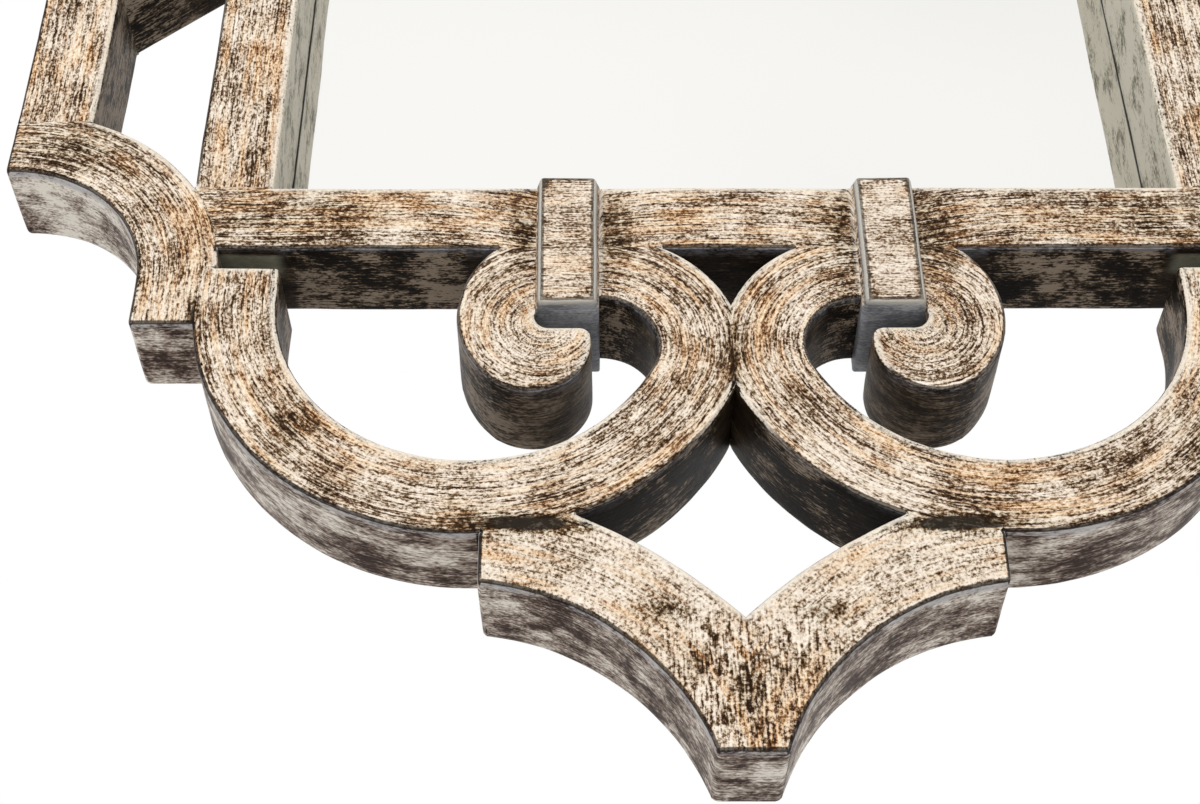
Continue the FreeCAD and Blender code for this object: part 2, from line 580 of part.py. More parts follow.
def hanger_strap():
    """A plate with a rolled upper end that holds the ring's bar."""
    plate = block("strap_plate", "hanger_x - strap_width / 2", "hanger_x + strap_width / 2",
                  "back_face", "strap_face", "hanger_height - strap_length", "hanger_height")
    round_end = rod("strap_end", "Y", "hanger_x", "back_face", "hanger_height - strap_length",
                    "strap_width / 2", "strap_thickness")
    roll = rod("strap_roll", "X", "hanger_x - strap_width / 2", "pivot_y", "hanger_height",
               "bore_radius + strap_thickness", "strap_width")
    bore = rod("strap_bore", "X", "hanger_x - strap_width / 2 - overrun", "pivot_y", "hanger_height",
               "bore_radius", "strap_width + 2 * overrun")
    holes = [screw_hole(f"strap_hole_{reach}", "hanger_x", f"hanger_height - {reach}", "back_face",
                        "strap_thickness") for reach in STRAP_SCREWS]
    return cut("strap", joined("strap_blank", plate, round_end, roll), bore, *holes)


def hanger_ring():
    """A D-shaped wire ring that hangs down from its bar."""
    half_bar = "(ring_radius - ring_corner)"
    corner_z = "hanger_height - ring_corner"
    bend_z = f"{corner_z} - ring_leg"
    pieces = [
        rod("ring_bar", "X", f"hanger_x - {half_bar}", "pivot_y", "hanger_height", "ring_wire",
            f"2 * {half_bar}"),
        ring_bend("ring_left_corner", f"hanger_x - {half_bar}", corner_z, "ring_corner", "90", "90"),
        ring_bend("ring_right_corner", f"hanger_x + {half_bar}", corner_z, "ring_corner", "0", "90"),
        rod("ring_left_leg", "Z", "hanger_x - ring_radius", "pivot_y", bend_z, "ring_wire", "ring_leg"),
        rod("ring_right_leg", "Z", "hanger_x + ring_radius", "pivot_y", bend_z, "ring_wire", "ring_leg"),
        ring_bend("ring_bow", "hanger_x", bend_z, "ring_radius", "180", "180"),
    ]
    return joined("ring", *pieces)


twin_nodes("rail", bottom_rail(), "Z", "bottom", "top")
twin_nodes("stile", left_stile(), "X", "left", "right")
twin_nodes("outer_rail", left_outer_rail(), "X", "left", "right")
quarter_nodes("shoulder", shoulder())
quarter_nodes("scroll", scroll())
quarter_nodes("curl", curl())
quarter_nodes("collar", collar())
quarter_nodes("brace", brace())
twin_nodes("apron", lower_apron(), "Z", "lower", "upper")
node("mirror_glass", mirror_glass())
node("backing_board", backing_board())
node("backing_screws", all_round("board_screws", lambda name, x, z: screw(name, x, "back_face", z)))
twin_nodes("hanger_strap", hanger_strap(), "X", "left", "right")
twin_nodes("hanger_ring", hanger_ring(), "X", "left", "right")
strap_screws = [screw(f"strap_screw_{reach}", "hanger_x", "strap_face", f"hanger_height - {reach}")
                for reach in STRAP_SCREWS]
node("hanger_screws", both_sides("strap_screws", grouped("left_strap_screws", *strap_screws), "X"))
bumper = rod("bumper", "Y", "hanger_x", "back_face", "seam_z + bumper_rise", "bumper_radius", "bumper_depth")
node("wall_bumpers", both_sides("bumpers", bumper, "X"))

for name in DOWELS:
    pins = dowel_rods(name, "dowel_radius", "dowel_length")
    repeated = both_sides(f"{name}_pins", pins, "Z") if name == "scroll_centre" else \
        four_corners(f"{name}_pins", pins)
    node(f"{name}_dowels", repeated)

doc.recompute()

for thing in doc.Objects:
    if "Invalid" in thing.State or "Error" in thing.State:
        raise RuntimeError(f"{thing.Label} failed: {thing.State}")
for piece in nodes:
    if piece.Shape.isNull() or not piece.Shape.isValid():
        raise RuntimeError(f"{piece.Label} has no valid shape")

os.makedirs("parts", exist_ok=True)
for piece in nodes:
    piece.Shape.exportStep(f"parts/{piece.Label}.step")
    print(piece.Label, len(piece.Shape.Solids), round(piece.Shape.Volume))
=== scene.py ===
"""A wall mirror in a fretwork frame of thick square bars, brushed with cream paint and rubbed back."""
import math

import bmesh
import bpy
from mathutils import Matrix, Vector, noise
from mathutils.bvhtree import BVHTree
from mathutils.kdtree import KDTree


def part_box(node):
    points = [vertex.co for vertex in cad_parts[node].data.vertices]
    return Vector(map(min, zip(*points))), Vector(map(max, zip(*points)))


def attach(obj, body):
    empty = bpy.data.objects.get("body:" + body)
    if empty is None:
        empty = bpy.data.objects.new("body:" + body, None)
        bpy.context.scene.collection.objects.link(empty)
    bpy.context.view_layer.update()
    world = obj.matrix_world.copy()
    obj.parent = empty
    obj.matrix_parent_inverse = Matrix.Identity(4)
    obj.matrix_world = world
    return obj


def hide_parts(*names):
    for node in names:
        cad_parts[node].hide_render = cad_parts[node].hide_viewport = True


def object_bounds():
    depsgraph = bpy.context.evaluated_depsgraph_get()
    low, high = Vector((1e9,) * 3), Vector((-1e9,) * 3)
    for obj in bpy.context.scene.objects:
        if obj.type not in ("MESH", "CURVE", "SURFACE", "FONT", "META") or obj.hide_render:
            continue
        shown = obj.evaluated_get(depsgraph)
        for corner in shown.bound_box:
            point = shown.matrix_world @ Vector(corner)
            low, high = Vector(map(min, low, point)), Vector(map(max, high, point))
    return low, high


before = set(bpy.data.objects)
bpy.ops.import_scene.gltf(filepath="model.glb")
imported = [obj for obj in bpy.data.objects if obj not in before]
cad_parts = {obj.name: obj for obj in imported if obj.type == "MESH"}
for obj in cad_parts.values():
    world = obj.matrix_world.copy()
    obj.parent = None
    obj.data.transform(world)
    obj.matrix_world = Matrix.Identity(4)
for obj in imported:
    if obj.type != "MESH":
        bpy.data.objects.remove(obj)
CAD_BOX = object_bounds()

MM = 0.001

# The front of the bars
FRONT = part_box("bottom_rail")[0].y

# The width of the bars in millimetres, and the bends in the lower left quarter: the centre of each,
# and the radii of its edges in millimetres
BAR = 44
SHOULDER = Vector((-398.341, -323)) * MM
BEND = Vector((-136.172, -333.5)) * MM
LOBE = Vector((-69.7, -366.4)) * MM
CURL = Vector((-84.7, -344.8)) * MM
CURL_TIP = Vector((-105.617, -364.305)) * MM
HOLLOW = Vector((-144.209, -645.169)) * MM
APRON_TOP = Vector((-212, -741.433)) * MM
SHOULDER_EDGE, BEND_EDGE, LOBE_EDGE = 124, 149.1685, 75
ARCS = [(SHOULDER, SHOULDER_EDGE), (SHOULDER, SHOULDER_EDGE - BAR), (BEND, BEND_EDGE),
        (BEND, BEND_EDGE - BAR), (LOBE, LOBE_EDGE), (LOBE, LOBE_EDGE - BAR), (CURL, 60.6),
        (CURL_TIP, 32), (HOLLOW, 135.5), (APRON_TOP, 300)]

# Pieces made from the frame's own shapes

# Points nearer than this to a skin or a level are on it
TOUCH = 0.05 * MM
# Faces that turn by less than this are one flat face, and by more than SHARP meet in an edge
FLAT = math.radians(0.6)
SHARP = math.radians(30)


def alone(piece):
    """Select one object, with nothing else."""
    bpy.ops.object.select_all(action="DESELECT")
    piece.select_set(True)
    bpy.context.view_layer.objects.active = piece


def edit(piece):
    alone(piece)
    bpy.ops.object.mode_set(mode="EDIT")


def rest():
    bpy.ops.object.mode_set(mode="OBJECT")


def pick(piece, mode, wanted):
    """In edit mode, select the faces or edges that are wanted, and say how many."""
    bpy.ops.mesh.select_mode(type=mode)
    bpy.ops.mesh.select_all(action="DESELECT")
    mesh = bmesh.from_edit_mesh(piece.data)
    found = [part for part in (mesh.faces if mode == "FACE" else mesh.edges) if wanted(part)]
    for part in found:
        part.select_set(True)
    bmesh.update_edit_mesh(piece.data)
    return len(found)


def merge(threshold):
    """In edit mode, merge the points that lie nearer to each other than this."""
    bpy.ops.mesh.select_all(action="SELECT")
    bpy.ops.mesh.remove_doubles(threshold=threshold)


def join_flat_faces():
    bpy.ops.mesh.select_all(action="SELECT")
    bpy.ops.mesh.dissolve_limited(angle_limit=FLAT)


def free_copy(node, name):
    """An object of its own with a node's mesh, merged into a closed skin."""
    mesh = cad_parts[node].data.copy()
    mesh.materials.clear()
    piece = bpy.data.objects.new(name, mesh)
    bpy.context.scene.collection.objects.link(piece)
    edit(piece)
    bpy.ops.mesh.customdata_custom_splitnormals_clear()
    merge(0.01 * MM)
    rest()
    return piece


def tree_of(nodes):
    """One search tree over the meshes of several nodes."""
    points, faces = [], []
    for node in nodes:
        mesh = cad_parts[node].data
        start = len(points)
        points.extend(v.co.copy() for v in mesh.vertices)
        faces.extend(tuple(start + k for k in face.vertices) for face in mesh.polygons)
    return BVHTree.FromPolygons(points, faces)


NODES = sorted(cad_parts)
PINS = [node for node in NODES if node.endswith(("_dowels", "_screws"))]
BAR_WORDS = ("rail", "stile", "shoulder", "scroll", "curl", "collar", "brace", "apron")
BARS = [node for node in NODES if node not in PINS and any(word in node for word in BAR_WORDS)]
pin_tree = tree_of(PINS)
bar_tree = tree_of(BARS)
solid_trees = {node: tree_of([node]) for node in BARS + ["backing_board", "mirror_glass"]}
solid_boxes = {node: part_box(node) for node in solid_trees}

# The wall of a hole is at most this far from its dowel or screw, and faces it
PIN_ROOM = 1.7 * MM
FACING = 0.6


def close_sockets(piece):
    """Take out the dowel and screw holes, which nothing shows, and close the faces over them."""
    def bore(face):
        centre = face.calc_center_median()
        spot, _, _, gap = pin_tree.find_nearest(centre, PIN_ROOM)
        return spot is not None and (spot - centre).dot(face.normal) > FACING * gap
    edit(piece)
    if pick(piece, "FACE", bore):
        bpy.ops.mesh.delete(type="FACE")
        bpy.ops.mesh.select_all(action="SELECT")
        bpy.ops.mesh.fill_holes(sides=0)
    join_flat_faces()
    rest()


# The flats of a bend are this long. Their middles lie at most FLAT_DIP inside its true curve, and
# no point of them more than ARC_TOUCH outside
SHORTEST_FLAT, LONGEST_FLAT = 5 * MM, 26 * MM
FLAT_DIP, ARC_TOUCH = 0.3 * MM, 0.02 * MM


def on_arc(point):
    """The centre and radius of the bend that a point lies on, if any."""
    flat = Vector((-abs(point.x), -abs(point.z)))
    for centre, radius in ARCS:
        if -FLAT_DIP < (flat - centre).length - radius * MM < ARC_TOUCH:
            return centre, radius * MM
    return None


def true_bends(piece):
    """Divide the long flats of each bend, and bring the new points out to its true curve."""
    def flat_of_bend(edge):
        a, b = (v.co for v in edge.verts)
        return abs(a.y - b.y) < 1e-6 and SHORTEST_FLAT < (a - b).length < LONGEST_FLAT \
            and on_arc(a) and on_arc(b) and on_arc((a + b) / 2)
    edit(piece)
    if pick(piece, "EDGE", flat_of_bend):
        bpy.ops.mesh.subdivide(number_cuts=2)
    mesh = bmesh.from_edit_mesh(piece.data)
    for v in mesh.verts:
        bend = on_arc(v.co)
        if bend:
            centre = Vector((math.copysign(bend[0].x, v.co.x), math.copysign(bend[0].y, v.co.z)))
            flat = Vector((v.co.x, v.co.z)) - centre
            flat *= bend[1] / flat.length
            v.co.x, v.co.z = centre.x + flat.x, centre.y + flat.y
    bmesh.update_edit_mesh(piece.data)
    rest()


# No face of the frame lies along this way
PROBE = Vector((0.31, 0.83, 0.46)).normalized()
PROBE_STEP = 0.001 * MM


def buried(node, point):
    """Whether a point is inside another piece: a ray from it then meets the skin an odd number of times."""
    for other, tree in solid_trees.items():
        low, high = solid_boxes[other]
        if other == node or not all(low[k] < point[k] < high[k] for k in range(3)):
            continue
        met, start = 0, point
        while start is not None:
            spot = tree.ray_cast(start, PROBE)[0]
            met += spot is not None
            start = spot and spot + PROBE * PROBE_STEP
        if met % 2:
            return True
    return False


# The rounding of the front, back and corner edges of a bar, and of a collar
BAR_ROUNDS = (2.7 * MM, 4 * MM, 2.6 * MM)
COLLAR_ROUNDS = (1.6 * MM, 2.5 * MM, 3 * MM)
ROUND_STEPS = 4
# An edge is covered if a neighbour is this far beside it, and this far in from the front or the back
BESIDE, IN_FROM_FRONT, IN_FROM_BACK = 0.7 * MM, 3 * MM, 1.5 * MM


def is_side(normal):
    """Whether a face with this normal is a side of a bar, and not its front or back."""
    return abs(normal.y) < 0.7


def round_edges(piece, node, front, back, corner):
    """Round the free edges and leave the seams sharp. Returns the rims, each as two ends and its facing."""
    rims = []
    low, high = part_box(node)
    edit(piece)
    mesh = bmesh.from_edit_mesh(piece.data)
    mesh.normal_update()
    widths = {}
    for edge in mesh.edges:
        if len(edge.link_faces) != 2:
            continue
        one, two = edge.link_faces
        if one.normal.angle(two.normal, 0) < SHARP:
            continue
        a, b = (v.co for v in edge.verts)
        middle = (a + b) / 2
        sides = [face.normal for face in (one, two) if is_side(face.normal)]
        if len(sides) == 1 and abs(a.y - b.y) < TOUCH:
            is_front = abs(middle.y - low.y) < 2 * TOUCH
            if not is_front and abs(middle.y - high.y) > 2 * TOUCH:
                continue
            inwards = IN_FROM_FRONT if is_front else -IN_FROM_BACK
            if buried(node, middle + sides[0] * BESIDE + Vector((0, inwards, 0))):
                continue
            widths[edge.index] = front if is_front else back
            if is_front:
                rims.append((a.copy(), b.copy(), sides[0].copy()))
        elif len(sides) == 2 and edge.is_convex:
            if not any(buried(node, middle + normal * BESIDE) for normal in sides):
                widths[edge.index] = corner
    rest()
    widest = max(front, back, corner)
    weights = piece.data.attributes.new("bevel_weight_edge", "FLOAT", "EDGE").data
    for index, width in widths.items():
        weights[index].value = width / widest
    rounding = piece.modifiers.new("rounding", "BEVEL")
    rounding.limit_method = "WEIGHT"
    rounding.width = widest
    rounding.segments = ROUND_STEPS
    rounding.use_clamp_overlap = False
    alone(piece)
    bpy.ops.object.modifier_apply(modifier="rounding")
    return rims


# How far a cut lies under the neighbour that covers it, and the least stretch worth a cut of its own
UNDERLAP = 1.5 * MM
LEAST_CONTACT, LEAST_STUB = 4 * MM, 0.5 * MM


def cut_across(axis, level):
    """In edit mode, cut the whole piece where one of its axes is at this level."""
    place, normal = [0, 0, 0], [0, 0, 0]
    place[axis], normal[axis] = level, 1
    bpy.ops.mesh.select_all(action="SELECT")
    bpy.ops.mesh.bisect(plane_co=place, plane_no=normal)


def cut_at_neighbours(piece, node):
    """Cut a straight bar just inside where its neighbours touch it, so each stretch is free or covered."""
    low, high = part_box(node)
    axis = 0 if high.x - low.x > high.z - low.z else 2
    edit(piece)
    for other in BARS:
        touching = [v.co[axis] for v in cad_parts[other].data.vertices
                    if other != node and solid_trees[node].find_nearest(v.co, TOUCH)[0] is not None]
        if touching and max(touching) - min(touching) > LEAST_CONTACT:
            for level in (min(touching) + UNDERLAP, max(touching) - UNDERLAP):
                if low[axis] + LEAST_STUB < level < high[axis] - LEAST_STUB:
                    cut_across(axis, level)
    rest()


# How far apart a piece is cut across, seen from the front and from front to back
GRID, DEEP_GRID = 5 * MM, 16 * MM
# Keeps the cuts off the faces that lie on round numbers
OFF_GRID = 0.01


def divide(piece, node):
    """Cut the piece across every few millimetres, so that it can be made a little uneven."""
    low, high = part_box(node)
    edit(piece)
    for axis, step in ((0, GRID), (2, GRID), (1, DEEP_GRID)):
        for k in range(math.ceil(low[axis] / step), math.floor(high[axis] / step) + 1):
            cut_across(axis, (k + OFF_GRID) * step)
    merge(0.06 * MM)
    rest()


# The waver of the faces: the width and height of its broad swells and of its fine ones
BROAD_SWELL, BROAD_HEIGHT = 45 * MM, 0.55 * MM
FINE_SWELL, FINE_HEIGHT = 11 * MM, 0.16 * MM
# The waver of the front goes half as deep, and past here, towards the back, it has no depth
BACK_HALF = 10 * MM
# Without a seed the noise starts from the clock, and each run's waver would be another
WAVER_SEED = 7
noise.seed_set(WAVER_SEED)


def uneven(piece):
    """The small waver of a frame finished by hand, kept inside the whole mirror's box."""
    low, high = CAD_BOX
    for v in piece.data.vertices:
        broad = noise.noise_vector(v.co / BROAD_SWELL)
        fine = noise.noise_vector(v.co / FINE_SWELL + Vector((7, 3, 5)))
        move = broad * BROAD_HEIGHT + fine * FINE_HEIGHT
        move.y *= 0.5 if v.co.y < BACK_HALF else 0
        spot = v.co + move
        v.co = [min(max(spot[k], low[k]), high[k]) for k in range(3)]


# How the brush went along each member of the lower left quarter, as (along, across) in metres

# The radii of the middle lines of the bends, and the length of the shoulder's
SHOULDER_LINE, BEND_LINE, LOBE_LINE, CURL_LINE, APRON_LINE = (r * MM for r in (102, 127, 53, 40, 158))
SHOULDER_RUN = 160.2 * MM
# Where the wide bend of a scroll runs into its lobe, and the side of the quarter that its arm is on
BEND_END = math.radians(-26.333)
ARM_SIDE = -200 * MM
CURL_EYE = Vector((-99, -352)) * MM
COLLAR_LEFT, COLLAR_RIGHT = -103.7 * MM, -69.7 * MM
# How far from a collar the strokes of the rail swerve, and by how much on its left and its right
SWERVE, SWERVE_LEFT, SWERVE_RIGHT = 70 * MM, 9 * MM, 5 * MM
BRACE_SLOPE = math.radians(52)


def turn_and_reach(point, centre):
    flat = point - centre
    return math.atan2(flat.y, flat.x), flat.length


def along_scroll(p):
    if p.y > BEND.y and p.x < ARM_SIDE:
        return BEND.y - p.y, BEND.x - p.x
    turn, reach = turn_and_reach(p, BEND)
    if turn < BEND_END:
        return BEND_LINE * (turn + math.pi), reach
    turn, reach = turn_and_reach(p, LOBE)
    return (BEND_LINE * (BEND_END + math.pi) + LOBE_LINE * (turn - BEND_END),
            reach + (BEND_EDGE - LOBE_EDGE) * MM)


def along_shoulder(p):
    if p.y < SHOULDER.y:
        return SHOULDER_RUN + SHOULDER.y - p.y, p.x - SHOULDER.x
    if p.x < SHOULDER.x:
        return p.x - SHOULDER.x, p.y - SHOULDER.y
    turn, reach = turn_and_reach(p, SHOULDER)
    return SHOULDER_LINE * (math.pi / 2 - turn), reach


def along_curl(p):
    turn, reach = turn_and_reach(p, CURL_EYE)
    return CURL_LINE * (turn % math.tau), reach


def along_apron(p):
    turn, reach = turn_and_reach(p, HOLLOW)
    return APRON_LINE * ((turn + math.pi / 2) % math.tau), reach


def along_rail(p):
    gap = max(COLLAR_LEFT - p.x, p.x - COLLAR_RIGHT, 0)
    swerve = max(0, 1 - gap / SWERVE) ** 2
    return p.x, p.y + (SWERVE_LEFT if p.x < COLLAR_RIGHT else SWERVE_RIGHT) * swerve


def along_brace(p):
    run, rise = math.cos(BRACE_SLOPE), math.sin(BRACE_SLOPE)
    return p.x * run + p.y * rise, p.y * run - p.x * rise


def upright(p):
    return p.y, p.x


def sideways(p):
    return p.x, p.y


BRUSHED = {"rail": along_rail, "stile": upright, "outer_rail": upright, "shoulder": along_shoulder,
           "scroll": along_scroll, "curl": along_curl, "collar": sideways, "brace": along_brace,
           "apron": along_apron}

# Where the dark glaze pooled at seams and inner corners of the lower left quarter, with painted shade
# beside and
# under the collars, in millimetres: the place, how far it reaches across and up, and how strong it is
GLAZE_POOLS_AND_SHADE = [((-284.5, -346), (1.8, 12), 0.8), ((-106, -477.6), (34, 3.2), 1.7),
         ((-122, -485), (20, 3.5), 0.3), ((-130, -491), (2.4, 13), 0.8), ((-1, -378), (3, 36), 0.8),
         ((-1, -322), (3, 8), 0.5), ((-110, -288), (9, 22), 0.55), ((-62, -288), (9, 24), 0.6),
         ((-62, -300), (9, 10), 0.5), ((-366, -225), (34, 13), 0.5), ((-241, -306), (5, 8), 0.4),
         ((-60, -470), (8, 5), 0.4), ((-230, -420), (10, 22), 0.25), ((-79, -498), (6, 3), 0.6),
         ((-37, -527), (11, 4), 0.75), ((-27, -557), (6, 3), 0.5), ((-2, -568), (4, 12), 0.75),
         ((-2, -508), (4, 6), 0.5), ((-225, -278), (50, 16), 0.35)]


def pooled_glaze_and_shade(place):
    """How much glaze and painted shade pooled at a place, which is the strongest of the pools there."""
    x, z = -abs(place.x) / MM, -abs(place.z) / MM
    return max(strength * math.exp(-((x - px) / across) ** 2 - ((z - pz) / up) ** 2)
               for (px, pz), (across, up), strength in GLAZE_POOLS_AND_SHADE)


# The rims, which are the free front edges, are held as points RIM_STEP apart. Each point covers
# RIM_HALF to either side, and no gap counts as more than FAR
RIM_STEP = 2 * MM
RIM_HALF = 1.1 * MM
FAR = 30 * MM


def rim_gap(place, rims):
    """How far a place is from the nearest rim, seen from the front, and how that rim faces."""
    search, facings = rims
    flat = Vector((place.x, 0, place.z))
    spot, which, reach = search.find(flat)
    square = abs((flat - spot).dot(facings[which]))
    past = max(0.0, math.sqrt(max(reach * reach - square * square, 0.0)) - RIM_HALF)
    return min(math.hypot(square, past), FAR), facings[which]


# How far a side looks across to another bar, and how much less closed in it is past FAR_WALL
LOOK, FAR_WALL, FAR_SHARE = 0.3, 0.25, 0.35
LOOK_START = 1.2 * MM
# A face that turns aside less than this belongs to the front or back
LEAST_TURN = 0.3


def how_closed(mesh):
    """For each face, 0 where it looks into the open and up to 1 the nearer another bar is."""
    levels = []
    for face in mesh.polygons:
        ahead = Vector((face.normal.x, 0, face.normal.z))
        closed = 0.0
        if ahead.length > LEAST_TURN:
            ahead.normalize()
            spot, _, _, gap = bar_tree.ray_cast(face.center + ahead * LOOK_START, ahead, LOOK)
            if spot is not None:
                closed = 1.0 - FAR_SHARE * min(1.0, gap / FAR_WALL)
        levels.append(closed)
    return levels


# How much paler the sides of each kind are than the rest, and 1 for the walls round the glass
PALER = {"shoulder": 0.12, "outer_rail": 0.10, "collar": 0.12, "curl": 0.09}
GLASS_WALL = 1.0
# The kinds that the paint treats in their own way
OWN_PAINT = {"collar": 1.0, "apron": -1.0}
# The apron's foot is brushed as one inside this, and the shoulder is cut off below this
FOOT_HALF, SHOULDER_CUT = 18 * MM, 350 * MM
# What sets the strokes of one piece off from those of the next, of the other side and of the other end
NEXT_PIECE, OTHER_SIDE, OTHER_END = 0.83, 0.29, 0.47
MIRRORED_STROKES, ACROSS_SHARE = 0.37, 0.61
# The third set of stroke data carries how closed in a face is, which the paint darkens as painted shade,
# the pools of glaze and painted shade, and how much paler a side is
STROKE_DATA = ("grain", "rim", "glaze")
# How much a rim that faces outwards counts, against one that faces up or down
OUTWARD_SHARE = 0.8
# Faces whose normals agree this well are shaded as one
ALIKE = 0.8


def pale_share(kind, side, end, face):
    """How much paler a face is, if it is a side."""
    if kind == "stile" and face.normal.x * side < -0.5:
        return GLASS_WALL
    if kind == "shoulder" and face.normal.z * end > 0.95 and abs(face.center.z) > SHOULDER_CUT:
        return 0.0
    return PALER.get(kind, 0.0)


def write_strokes(piece, kind, side, end, rims, seed):
    """Store, for the paint, the way along the member, the nearest rim and how closed in each place is."""
    mesh = piece.data
    for name in STROKE_DATA:
        mesh.attributes.new(name, "FLOAT_VECTOR", "CORNER")
    grain, rim, glaze = (mesh.attributes[name].data for name in STROKE_DATA)
    levels = how_closed(mesh)
    normals = [face.normal.copy() for face in mesh.polygons]
    touching = [[] for _ in mesh.vertices]
    for face in mesh.polygons:
        for index in face.vertices:
            touching[index].append(face.index)
    near = {}
    for face in mesh.polygons:
        centre, normal = face.center, face.normal
        paler = pale_share(kind, side, end, face)
        # Both halves of an apron or rail are brushed alike, and a rail's strokes run on across its middle
        half = math.copysign(1, centre.x) if kind in ("apron", "rail") else side
        if kind == "apron" and abs(centre.x) < FOOT_HALF and abs(normal.z) > 0.5:
            half = -1
        along = -1 if kind == "rail" and half > 0 else 1
        shift = seed + (MIRRORED_STROKES if half > 0 and kind != "rail" else 0.0)
        for k in face.loop_indices:
            index = mesh.loops[k].vertex_index
            place = mesh.vertices[index].co
            s, t = BRUSHED[kind](Vector((place.x * -half, place.z * -end)))
            grain[k].vector = (s * along + shift, t + shift * ACROSS_SHARE, place.y)
            if index not in near:
                near[index] = (*rim_gap(place, rims), 0.0 if kind == "collar" else pooled_glaze_and_shade(place))
            gap, facing, pool_and_shade = near[index]
            outwards = math.copysign(facing.x, facing.x * place.x)
            rim[k].vector = (gap, OWN_PAINT.get(kind, 0.0), facing.z * -end - OUTWARD_SHARE * outwards)
            alike = [levels[other] for other in touching[index] if normals[other].dot(normal) > ALIKE]
            glaze[k].vector = (sum(alike) / len(alike), pool_and_shade, paler)


# Each kind of bar: the node that it is shaped from, and the axes that its copies are mirrored along
MASTERS = {"rail": ("bottom_rail", "Z"), "stile": ("left_stile", "X"),
           "outer_rail": ("left_outer_rail", "X"), "shoulder": ("lower_left_shoulder", "XZ"),
           "scroll": ("lower_left_scroll", "XZ"), "curl": ("lower_left_curl", "XZ"),
           "collar": ("lower_left_collar", "XZ"), "brace": ("lower_left_brace", "XZ"),
           "apron": ("lower_apron", "Z")}
STRAIGHT = ("rail", "stile", "outer_rail")


def quarters(axes):
    """The sides and ends that have a bar of a kind, -1 for left and for lower."""
    return [(side, end) for side in ((-1, 1) if "X" in axes else (-1,))
            for end in ((-1, 1) if "Z" in axes else (-1,))]


def twin_name(node, side, end):
    """The node on the other side or end that mirrors this one."""
    if side > 0:
        node = node.replace("left", "right")
    if end > 0:
        node = node.replace("lower", "upper").replace("bottom", "top")
    return node


def mirrored_copy(master, name, side, end):
    mesh = master.data.copy()
    copy = bpy.data.objects.new(name, mesh)
    bpy.context.scene.collection.objects.link(copy)
    if side > 0 or end > 0:
        mesh.transform(Matrix.Diagonal((-side, 1, -end, 1)))
        edit(copy)
        bpy.ops.mesh.select_all(action="SELECT")
        bpy.ops.mesh.normals_make_consistent(inside=False)
        rest()
    return copy


def smooth(piece):
    alone(piece)
    bpy.ops.object.shade_smooth_by_angle(angle=math.radians(35))


def stand_for(piece, node):
    """Let a piece of the frame take a node's place."""
    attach(piece, "frame")
    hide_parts(node)


def shaped(kind, node):
    """The first bar of a kind, closed, cut and rounded, and its rims."""
    bar = free_copy(node, f"{kind}_master")
    close_sockets(bar)
    true_bends(bar)
    if kind in STRAIGHT:
        cut_at_neighbours(bar, node)
        divide(bar, node)
    if kind == "scroll":
        # The shoulder covers a quarter of the arm's end
        edit(bar)
        cut_across(0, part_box("lower_left_shoulder")[1].x - UNDERLAP)
        rest()
    rims = round_edges(bar, node, *(COLLAR_ROUNDS if kind == "collar" else BAR_ROUNDS))
    if kind not in STRAIGHT:
        divide(bar, node)
    return bar, rims


def rim_points(rims, axes):
    """Points along the rims of all bars of a kind, seen from the front, each with its facing."""
    points = []
    for a, b, facing in rims:
        steps = max(1, round((a - b).length / RIM_STEP))
        for side, end in quarters(axes):
            for k in range(steps):
                spot = a.lerp(b, (k + 0.5) / steps)
                points.append((Vector((-side * spot.x, 0, -end * spot.z)),
                               Vector((-side * facing.x, 0, -end * facing.z))))
    return points


def cut_bars():
    """Shape each kind of bar once, in the lower left quarter, then copy it to the other quarters."""
    masters, points = {}, []
    for kind, (node, axes) in MASTERS.items():
        masters[kind], rims = shaped(kind, node)
        points += rim_points(rims, axes)
    search = KDTree(len(points))
    for k, (spot, _) in enumerate(points):
        search.insert(spot, k)
    search.balance()
    facings = [facing for _, facing in points]
    made = []
    for number, (kind, (node, axes)) in enumerate(MASTERS.items()):
        for side, end in quarters(axes):
            target = twin_name(node, side, end)
            piece = mirrored_copy(masters[kind], f"painted_{target}", side, end)
            seed = number * NEXT_PIECE + (OTHER_SIDE if side > 0 else 0) + (OTHER_END if end > 0 else 0)
            write_strokes(piece, kind, side, end, (search, facings), seed)
            uneven(piece)
            smooth(piece)
            stand_for(piece, target)
            made.append(piece)
    for master in masters.values():
        bpy.data.objects.remove(master)
    return made


# Finishes

# Sockets that share a name with others on the Mix node
MIX_UNDER, MIX_OVER, MIX_RESULT = 6, 7, 2


def put(socket, value):
    """Set a socket, or link a value into it."""
    if isinstance(value, Wire):
        value.tree.links.new(value.socket, socket)
    elif hasattr(value, "__len__") and len(value) == 3 and socket.type == "RGBA":
        socket.default_value = (*value, 1.0)
    else:
        socket.default_value = value


